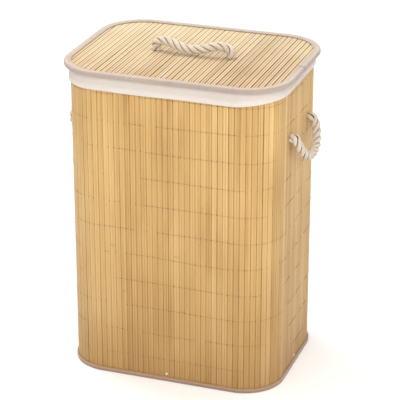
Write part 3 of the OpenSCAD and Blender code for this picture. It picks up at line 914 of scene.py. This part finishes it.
def binding(name, node, material, body, profile, edge, seed, pucker, lap_at):
    """A tape folded round an edge. profile is its closed section [(off, z)], edge the painted light and shade
    at each point, lighter where it is higher.
    pucker is how deep it wrinkles round the corners. lap_at is where its two ends lap."""
    mesh, rng = Mesh(), np.random.default_rng(seed)
    away = profile - profile.mean(0)
    away /= np.linalg.norm(away, axis=1)[:, None]
    slow = HOOP.ripples(rng, 6, 30, 7)
    fine = HOOP.ripples(rng, 150, 230, 6) * (0.25 + 0.75 * HOOP.corner)
    wobble = 0.12 * slow + pucker * fine
    half = HOOP.length / 2
    past_lap = (HOOP.along - lap_at + half) % HOOP.length - half
    lap = np.exp(-np.maximum(np.abs(past_lap - 8) - 7, 0) ** 2)
    swell = wobble[None] + 0.45 * lap[None]
    off = profile[:, :1] + away[:, :1] * swell
    z = np.maximum(profile[:, 1:] + away[:, 1:] * swell, FLOOR_GAP)
    uvs = uv_grid(HOOP.ring, lengths_along(np.vstack([profile, profile[:1]])))
    # Painted shade: a dark line in the tape where its lapped end lies over it.
    fold = 2.2 * np.exp(-((past_lap / 2.5) ** 2))
    values = {"edge": np.asarray(edge)[:, None] - fold[None]}
    mesh.grid(HOOP.points(off, z), uvs, closed_u=True, closed_v=True, values=values)
    settle(mesh.make(name, material, "binding_cloth"), body, node)


def sewn(name, body, *rows):
    """Rows of stitches as one piece. Each row is (off, z, (out, up))."""
    mesh, rng = Mesh(), np.random.default_rng(5)
    for off, z, side in rows:
        stitch_row(mesh, rng, off, z, 0.55, side)
    settle(mesh.make(name, "sewing_thread", "binding_cloth"), body)


def foot_binding():
    top = FOOT_HIGH[2]
    outline = [
        (-8.0, 0), (FOOT_OFF, 0), (FOOT_OFF, FOOT_SKIRT_H - 2.2), (1.6, FOOT_SKIRT_H), (0.25, FOOT_SKIRT_H),
        (0.25, 4.2), (-2.25, 4.2), (-2.25, top), (-3.4, top), (-8.0, top - 2.6),
    ]
    profile = rounded(outline, [2.2, 2.2, 1.6, 0.5, 0.3, 0.3, 0.3, 0.3, 0.5, 2.4])
    # Painted light and shade: the tape is drawn darker down at the floor and lighter at the top of its skirt.
    edge = np.interp(profile[:, 1], [0, 2, 6, FOOT_SKIRT_H], [-0.7, -0.1, 0.35, 0.5])
    looks = {"seed": 11, "pucker": 0.12, "lap_at": 60}
    binding("foot_tape", "foot_binding", "foot_cloth", "basket", profile, edge, **looks)
    sewn("foot_stitches", "basket", (FOOT_OFF - 0.3, FOOT_SKIRT_H - 2.3, (1.0, 0.0)))


def rim_binding():
    top, low = RIM_HIGH[2], RIM_LOW[2]
    outline = [
        (-7.8, top - 7.5), (-3.2, top - 7.8), (-3.0, low), (-2.2, low), (-2.2, top - 1.2), (0.35, top - 1.2),
        (0.35, low), (1.2, low), (1.2, top), (-7.8, top),
    ]
    profile = rounded(outline, [2, 1, 0.3, 0.3, 0.4, 0.4, 0.3, 0.3, 1, 2])
    looks = {"seed": 12, "pucker": 0.05, "lap_at": 90}
    binding("rim_tape", "rim_binding", "binding_cloth", "basket", profile, np.zeros(len(profile)), **looks)


def lid_binding():
    low, top, out = LID_LOW[2], LID_HIGH[2], LID_OFF
    inner = out - LID_BINDING_W
    slat_top, slat_low = LID_SLAT_HIGH[2], LID_SLAT_LOW[2]
    outline = [
        (inner, low + 0.9), (inner + 6, low + 0.3), (out - 1.4, low - 1), (out, low + 0.6), (out, top - 2.6),
        (out - 2.0, top), (inner + 6.5, top - 0.3), (inner, slat_top + 1.9), (inner, slat_top + 0.7),
        (inner + 2, slat_top + 0.15), (inner + 6, slat_low - 0.15), (inner, slat_low - 0.15),
    ]
    profile = rounded(outline, [0.4, 1.5, 1.0, 1.0, 1.2, 1.4, 1.6, 0.5, 0.3, 0.3, 0.3, 0.3])
    # Painted light and shade: the top lip is drawn lighter, where light falls from above, and the side below
    # it darker.
    edge = np.interp(profile[:, 1], [low, low + 5, top - 0.6, top], [-0.1, -0.25, 0.2, 0.9])
    looks = {"seed": 13, "pucker": 0.16, "lap_at": 945}
    binding("lid_tape", "lid_binding", "binding_cloth", "lid", profile, edge, **looks)
    seam = inner + 3.4
    upper, lower = (seam, slat_top + 2.3, (0.0, 1.0)), (seam, low + 0.55, (0.0, -1.0))
    sewn("lid_stitches", "lid", upper, lower)


# ---- liner and hinge


LINER_TOP = LINER_HIGH[2] - 0.6
HEM = RIM_HIGH[2] - CUFF_H
CUFF_FACE, BAG_FACE = CUFF_OFF - 0.6, BAG_OFF - 0.6
BAG_BOTTOM = LINER_BOTTOM_LOW[2] + 0.7


def liner_path():
    """The bag wall's section [(off, z)] from the bottom seam to the hem, and how many points are inside."""
    heights = [BAG_BOTTOM, BAG_BOTTOM + 1.5, BAG_BOTTOM + 5]
    heights += [*np.linspace(BAG_BOTTOM + 15, LINER_TOP - 14, 30)]
    heights += [LINER_TOP - 7, LINER_TOP - 3, LINER_TOP - 1.1]
    inside = [(BAG_FACE, z) for z in heights]
    over = [(BAG_FACE + 0.4, -0.3), (BAG_FACE + 1.4, 0), (-4, 0), (0, 0)]
    over += [(CUFF_FACE - 1.2, 0), (CUFF_FACE - 0.35, -0.35), (CUFF_FACE, -1.3)]
    over = [(off, LINER_TOP + z) for off, z in over]
    down = [(CUFF_FACE, z) for z in np.linspace(LINER_TOP - 4, HEM + 10.5, 4)]
    fold = [(0.1, 9.4), (0.55, 8.6), (0.6, 4), (0.55, 0.8), (0.2, 0)]
    fold = [(CUFF_FACE + off, HEM + z) for off, z in fold]
    return np.array(inside + over + down + fold), len(inside)


def bag_folds(rng, z):
    """How far inwards the bag stands: its folds, and its bulges over the side handles' knots."""
    folds, pulls = HOOP.ripples(rng, 9, 34, 8), HOOP.ripples(rng, 30, 60, 6)
    share = np.clip((z - BAG_BOTTOM) / 60, 0, 1) * np.clip((LINER_TOP - z) / 40, 0, 1)
    drift = 0.6 * np.sin(z / 90 + HOOP.along / 120)
    inwards = np.maximum(share * (1.3 * (folds + drift) + 0.5 * pulls), -0.2)
    for side in (-1, 1):
        for y in (-HANDLE_Y, HANDLE_Y):
            along = np.linalg.norm(HOOP.base - [side * BODY_W / 2, y], axis=1)[None]
            inwards += 8.6 * np.exp(-((along**2 + (z - SIDE_AXIS[2]) ** 2) / 21**2) ** 1.3)
    return inwards


def cuff_hang(rng, z):
    """How far out and up the cuff stands: loose at the hem, but snug and drawn up on the right side."""
    hang = np.clip((LINER_TOP - z) / CUFF_H, 0, 1)
    loose, creases = HOOP.ripples(rng, 7, 26, 7), HOOP.ripples(rng, 60, 110, 6)
    on_right = HOOP.normal[:, 0].clip(0, 1)
    out = (1 - 0.6 * on_right) * hang**1.5 * (0.35 + 0.5 * loose + 0.16 * creases).clip(0, 2)
    risen = CUFF_RIGHT_RISE * on_right * np.clip((LINER_TOP - z) / (CUFF_H - 11), 0, 1)
    return out, hang * 0.7 * HOOP.ripples(rng, 3, 9, 4) + risen


def liner():
    """The bag's wall, drawn up inside the slats, over the rim and down outside as a hemmed cuff."""
    rng = np.random.default_rng(21)
    path, inside = liner_path()
    off, z = (np.repeat(path[:, k : k + 1], len(HOOP.along), 1) for k in range(2))
    drawn = np.arange(len(path))[:, None] < inside
    inwards = bag_folds(rng, z)
    out, up = cuff_hang(rng, z)
    off = off + np.where(drawn, -inwards, out)
    z = z + np.where(drawn, 0, up)
    length = lengths_along(path)
    hemmed = np.where(np.arange(len(path)) >= len(path) - 5, 0.9, 0.0)
    mesh, stitches = Mesh(), Mesh()
    uvs = uv_grid(HOOP.ring, length)
    mesh.grid(HOOP.points(off, z), uvs, closed_u=True, values={"edge": hemmed[:, None]}, flip=True)
    piece = thicken(mesh.make("liner_bag", "liner_cotton"), CLOTH_T)
    settle(piece, "basket", "liner_wall")
    stitch_row(stitches, rng, CUFF_FACE + 1.05, HEM + 7.6, 0.5, (1.0, 0.0), CUFF_RIGHT_RISE)
    sewing = settle(stitches.make("liner_hem_stitches", "sewing_thread", "liner_cotton"), "basket")


def liner_bottom():
    """The bag's bottom panel, and the seam that joins it to the wall."""
    rng = np.random.default_rng(22)
    mesh, seam = Mesh(), Mesh()
    rings = np.array([0.0, 0.12, 0.25, 0.38, 0.5, 0.62, 0.74, 0.85, 0.94, 1.0])
    rim = HOOP.base + HOOP.normal * (BAG_OFF - 0.4)
    points = np.zeros((len(rings), len(rim), 3))
    points[..., :2] = rim[None] * rings[:, None, None]
    x, y = points[..., 0], points[..., 1]
    phase = rng.uniform(0, 6, 4)
    wrinkles = np.sin(x / 31 + phase[0]) * np.sin(y / 24 + phase[1]) + 0.6 * np.sin((x + y) / 17 + phase[2])
    points[..., 2] = LINER_BOTTOM_LOW[2] + 0.6 + 0.5 * (1 + 0.6 * wrinkles) * (1 - rings[:, None] ** 4)
    uvs = np.concatenate([points, points[:, :1]], axis=1)[..., :2] * MM
    start = mesh.grid(points[1:], uvs[1:], closed_u=True)
    mesh.fan(reversed(range(start, start + len(rim))), points[0].mean(0))
    piece = thicken(mesh.make("liner_floor", "liner_cotton"), CLOTH_T)
    settle(piece, "basket", "liner_bottom")
    angle = turns(8)[:, None]
    waves = 0.15 * HOOP.ripples(rng, 60, 90)
    off = BAG_OFF - 1.9 + 1.1 * np.cos(angle) + 0 * HOOP.along
    z = LINER_BOTTOM_LOW[2] + 2.1 + 1.1 * np.sin(angle) + waves
    uvs = uv_grid(HOOP.ring, np.linspace(0, 7, len(angle) + 1))
    seam.grid(HOOP.points(off, z), uvs, closed_u=True, closed_v=True)
    piping = settle(seam.make("liner_seam", "liner_cotton"), "basket")


def hinge_stitches(inner, outer, width):
    """Two rows low on the basket and one high on the lid's edge, on cloth that faces back."""
    fixed, moving = Mesh(), Mesh()
    rows = [(fixed, inner, STRIP_LOW[2] + 3), (fixed, inner, STRIP_LOW[2] + 9)]
    rows += [(moving, outer, LID_HIGH[2] - 4.2)]
    for x in np.arange(3 - width / 2, width / 2 - 5, STITCH + STITCH_GAP):
        for mesh, y, z in rows:
            stitch(mesh, (x, y, z), (x + STITCH, y, z), (0, 1, 0), 0.5)
    low = fixed.make("hinge_stitches_basket", "sewing_thread", "binding_cloth")
    high = moving.make("hinge_stitches_lid", "sewing_thread", "binding_cloth")
    return [settle(low, "basket"), settle(high, "lid")]


def hinge():
    """The cloth hinge: one strip, sewn to the basket under the cuff and to the lid's edge."""
    rng = np.random.default_rng(41)
    y_axis, z_axis = joint_at("lid_hinge")[1:]
    inner = STRIP_LOW[1] + 0.45
    width = STRIP_HIGH[0] - STRIP_LOW[0]
    back = BODY_D / 2 + LID_OFF
    route = [
        (inner, STRIP_LOW[2]), (inner, STRIP_LOW[2] + 12), (inner, RIM_H - 30),
        (inner, RIM_H - 14), (inner + 0.5, z_axis - 9), (inner + 3, z_axis - 5.4),
        (y_axis - 3, z_axis - 1.8), (y_axis, z_axis), (y_axis - 0.4, z_axis + 1.8),
        (back + 0.55, z_axis + 3.2), (back + 0.5, LID_HIGH[2] - 3.2),
    ]
    line, at = smooth_line([(0, y, z) for y, z in route], 1.5)
    x = np.linspace(-width / 2, width / 2, 61)
    slack = 0.35 * np.exp(-(((line[:, 2:3] - (z_axis - 7)) / 6) ** 2)) * ripple(rng, width * 2, (3, 15), 6)(x)
    free = np.exp(-at / 9)[:, None] * (0.5 + 0.5 * ripple(rng, width * 1.3, (2, 9), 5)(x)).clip(0, 1)
    points = np.zeros((len(line), len(x), 3))
    points[..., 0] = x
    points[..., 1] = line[:, 1:2] + slack + 1.1 * free
    points[..., 2] = line[:, 2:3] - slack
    mesh = Mesh()
    edge = np.where((np.abs(x) > width / 2 - 4)[None] | (at < 4)[:, None], 0.4, 0.0)
    mesh.grid(points, uv_grid(x, at), values={"edge": edge})
    piece = thicken(mesh.make("lid_hinge_cloth", "binding_cloth"), 0.7)
    bpy.context.view_layer.objects.active = piece
    bpy.ops.object.modifier_apply(modifier="thickness")
    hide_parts("hinge_strip", "lid_hinge_flap")
    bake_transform(piece)
    hinge_stitches(inner + 0.4, back + 0.95, width)


# ---- stage


def camera():
    """From 3.3 m away, 19.3 degrees right of the front and 23.15 above the horizon, as in the photograph."""
    turn, rise, distance = math.radians(19.3), math.radians(23.15), 3.304
    back = Vector((math.sin(turn) * math.cos(rise), -math.cos(turn) * math.cos(rise), math.sin(rise)))
    data = bpy.data.cameras.new("camera")
    data.lens, data.sensor_width = 162.4, 36
    data.clip_start, data.clip_end = 0.1, 50
    made = bpy.data.objects.new("camera", data)
    bpy.context.scene.collection.objects.link(made)
    made.location = Vector((0.0232, -0.0302, 0.3177)) + back * distance
    made.rotation_mode = "QUATERNION"
    made.rotation_quaternion = (-back).to_track_quat("-Z", "Y")
    bpy.context.scene.camera = made


def lamp(name, place, target, size, power, colour):
    data = bpy.data.lights.new(name, "AREA")
    data.shape, data.size, data.size_y = "RECTANGLE", size[0], size[1]
    data.energy, data.color = power, colour
    made = bpy.data.objects.new(name, data)
    bpy.context.scene.collection.objects.link(made)
    made.location = place
    made.rotation_mode = "QUATERNION"
    made.rotation_quaternion = (Vector(target) - Vector(place)).to_track_quat("-Z", "Y")


def stage():
    """A pale floor and soft light from above, mostly from the back left."""
    data, far = bpy.data.meshes.new("floor"), 12
    data.from_pydata([(-far, -far, 0), (far, -far, 0), (far, far, 0), (-far, far, 0)], [], [(0, 1, 2, 3)])
    floor = bpy.data.objects.new("floor", data)
    bpy.context.scene.collection.objects.link(floor)
    paint = Paint("floor", Base_Color=rgb(252, 252, 252), Roughness=0.9)
    data.materials.append(paint.material)
    world = bpy.data.worlds.new("studio")
    bpy.context.scene.world = world
    world.use_nodes = True
    sky = world.node_tree.nodes["Background"]
    sky.inputs["Color"].default_value = (1, 0.99, 0.98, 1)
    sky.inputs["Strength"].default_value = 0.85
    lamp("key", (-0.9, 0.5, 2.6), (0, 0, 0.4), (0.9, 0.9), 30, (1, 0.98, 0.95))
    lamp("front", (0.7, -2.3, 2.0), (0, 0, 0.45), (1.6, 1.3), 42, (1, 0.99, 0.96))
    lamp("right", (2.4, -0.6, 1.9), (0, 0, 0.45), (1.4, 1.4), 11, (1, 0.96, 0.92))
    bpy.context.scene.view_settings.view_transform = "Standard"


def paint_cad_nodes():
    """Materials for the CAD nodes whose own shapes show."""
    looks = {"base_board": "fibreboard", "rod_caps": "cap_plastic", "wall_rivets": "rivet_steel"}
    looks |= {f"{place}_wire": "steel_wire" for place in ("rim", "foot", "lid")}
    for end in ("front", "back"):
        looks |= {f"support_rod_{end}_{side}": "steel_wire" for side in ("left", "right")}
    for node, look in looks.items():
        data = frame["nodes"][node].data
        data.materials.clear()
        data.materials.append(MATERIALS[look])


camera()
lid_handle()
side_handle("left", "left_rope")
side_handle("right", "right_rope")
stage()
wall("slats_front", "front_slats", (0, -1, 0), FLAT_X, BODY_D / 2, 101)
wall("slats_back", "back_slats", (0, 1, 0), FLAT_X, BODY_D / 2, 102)
HOLES = [(s * HANDLE_Y, SIDE_AXIS[2] - SLAT_LOW, HOLE_R) for s in (-1, 1)]
wall("slats_left", "left_slats", (-1, 0, 0), FLAT_Y, BODY_W / 2, 103, HOLES)
wall("slats_right", "right_slats", (1, 0, 0), FLAT_Y, BODY_W / 2, 104, HOLES)
for seed, (y, sy) in enumerate((("front", -1), ("back", 1))):
    for more, (x, sx) in enumerate((("left", -1), ("right", 1))):
        corner(f"slats_corner_{y}_{x}", f"corner_slats_{y}_{x}", sx, sy, 110 + 2 * seed + more)
LID_HOLES = (-LID_HANDLE_X, LID_HANDLE_X)
mat("slats_lid", "lid_slats", "lid_bamboo", "lid", LID_SLAT_OFF, LID_SLAT_HIGH[2], 1, 121, LID_HOLES)
mat("slats_base", "base_slats", "bamboo", "basket", BASE_SLAT_OFF, BASE_SLAT_LOW[2], -1, 122)
thread_rows()
mat_threads("lid_binding_threads", "lid_threads", "lid", -2, LID_SLAT_LOW[2] - 0.35, 1, 0.8 * SLAT_T, 51)
mat_threads("base_binding_threads", "base_threads", "basket", -14, BASE_SLAT_LOW[2] - 0.35, -1, 0.1, 52)
foot_binding()
rim_binding()
lid_binding()
liner()
liner_bottom()
hinge()
paint_cad_nodes()
